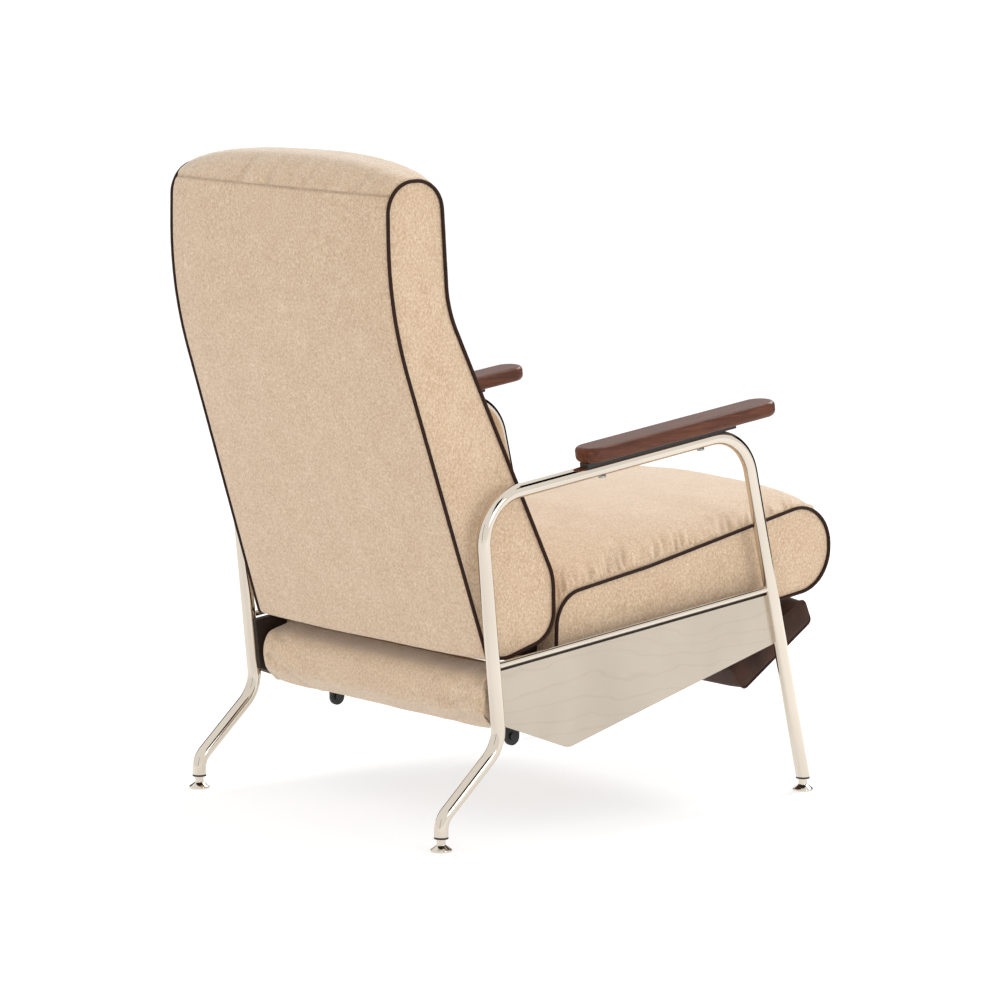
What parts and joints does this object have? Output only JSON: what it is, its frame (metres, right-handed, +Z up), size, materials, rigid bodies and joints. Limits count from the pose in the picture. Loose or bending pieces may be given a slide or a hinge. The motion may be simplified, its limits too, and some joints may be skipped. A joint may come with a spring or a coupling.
{
  "type": "recliner armchair",
  "caption": "Push-back recliner armchair: padded seat and back with contrast piping on a bent tube frame, wooden arm pads, polished side panels, stowed footrest and levelling glides.",
  "frame": {"origin": "on the floor under the middle of the whole chair's width and depth", "axes": "+Z up, the chair faces -Y, +X is the sitter's left"},
  "size_m": [0.68, 0.9226, 1.037],
  "materials": {
    "tube_chrome": "polished",
    "panel_steel": "polished",
    "lining": "matt stain",
    "arm_wood": "satin",
    "mechanism_steel": "semi-gloss",
    "zinc_steel": "zinc plated",
    "insert_plastic": "matt",
    "frame_wood": "raw",
    "webbing": "woven",
    "chenille": "chenille",
    "piping": "welt cord",
    "footrest_leather": "soft grain"
  },
  "bodies": {
    "frame": {"left_side_tube": "tube_chrome", "right_side_tube": "tube_chrome", "left_arm_plate": "mechanism_steel", "right_arm_plate": "mechanism_steel", "left_arm_pad": "arm_wood", "right_arm_pad": "arm_wood", "arm_pad_screws": "zinc_steel", "left_seat_rail": "tube_chrome", "right_seat_rail": "tube_chrome", "left_side_panel": "panel_steel", "right_side_panel": "panel_steel", "left_panel_lining": "lining", "right_panel_lining": "lining", "flange_screws": "zinc_steel", "rear_cross_tube": "mechanism_steel", "front_cross_tube": "mechanism_steel", "foot_inserts": "insert_plastic", "left_base_plate": "mechanism_steel", "right_base_plate": "mechanism_steel", "tab_rivets": "mechanism_steel", "seat_channels": "mechanism_steel", "apron_board": "frame_wood", "apron_pad": "chenille", "apron_brackets": "zinc_steel"},
    "seat": {"left_seat_side_rail": "frame_wood", "right_seat_side_rail": "frame_wood", "seat_front_rail": "frame_wood", "seat_rear_rail": "frame_wood", "seat_webbing": "webbing", "left_back_bracket": "mechanism_steel", "right_back_bracket": "mechanism_steel", "seat_runners": "zinc_steel", "footrest_channels": "mechanism_steel", "seat_cushion": "chenille", "left_seat_welt": "piping", "right_seat_welt": "piping"},
    "back": {"back_cushion": "chenille", "back_rear_panel": "chenille", "left_back_post": "frame_wood", "right_back_post": "frame_wood", "back_top_rail": "frame_wood", "back_bottom_rail": "frame_wood", "back_webbing": "webbing", "left_hinge_plate": "mechanism_steel", "right_hinge_plate": "mechanism_steel", "hinge_pins": "zinc_steel", "left_back_welt": "piping", "right_back_welt": "piping"},
    "footrest_carriage": {"footrest_runners": "zinc_steel", "footrest_cross_bar": "mechanism_steel"},
    "footrest": {"footrest_board": "frame_wood", "footrest_pad": "footrest_leather", "footrest_hinges": "mechanism_steel", "footrest_pins": "zinc_steel"},
    "left_front_glide": {"left_front_glide": "tube_chrome"},
    "left_rear_glide": {"left_rear_glide": "tube_chrome"},
    "right_front_glide": {"right_front_glide": "tube_chrome"},
    "right_rear_glide": {"right_rear_glide": "tube_chrome"}
  },
  "joints": [
    {"name": "seat_glide", "type": "slide", "parent": "frame", "child": "seat", "axis": [0, -0.9904, 0.1381], "range_m": [0, 0.05]},
    {"name": "back_recline", "type": "hinge", "parent": "seat", "child": "back", "pos_m": [0, 0.25475, 0.305], "axis": [-1, 0, 0], "range_deg": [0, 28]},
    {"name": "footrest_slide", "type": "slide", "parent": "seat", "child": "footrest_carriage", "axis": [0, -0.9904, 0.1381], "range_m": [0, 0.14]},
    {"name": "footrest_flip", "type": "hinge", "parent": "footrest_carriage", "child": "footrest", "pos_m": [0, -0.37685, 0.30162], "axis": [-1, 0, 0], "range_deg": [0, 150]},
    {"name": "left_front_levelling", "type": "slide", "parent": "frame", "child": "left_front_glide", "axis": [0, 0, -1], "range_m": [0, 0.008]},
    {"name": "left_rear_levelling", "type": "slide", "parent": "frame", "child": "left_rear_glide", "axis": [0, 0, -1], "range_m": [0, 0.008]},
    {"name": "right_front_levelling", "type": "slide", "parent": "frame", "child": "right_front_glide", "axis": [0, 0, -1], "range_m": [0, 0.008]},
    {"name": "right_rear_levelling", "type": "slide", "parent": "frame", "child": "right_rear_glide", "axis": [0, 0, -1], "range_m": [0, 0.008]}
  ],
  "couplings": [
    {"joint": "seat_glide", "follows": "back_recline", "m_per_rad": 0.1023},
    {"joint": "footrest_flip", "follows": "footrest_slide", "rad_per_m": 18.69}
  ]
}
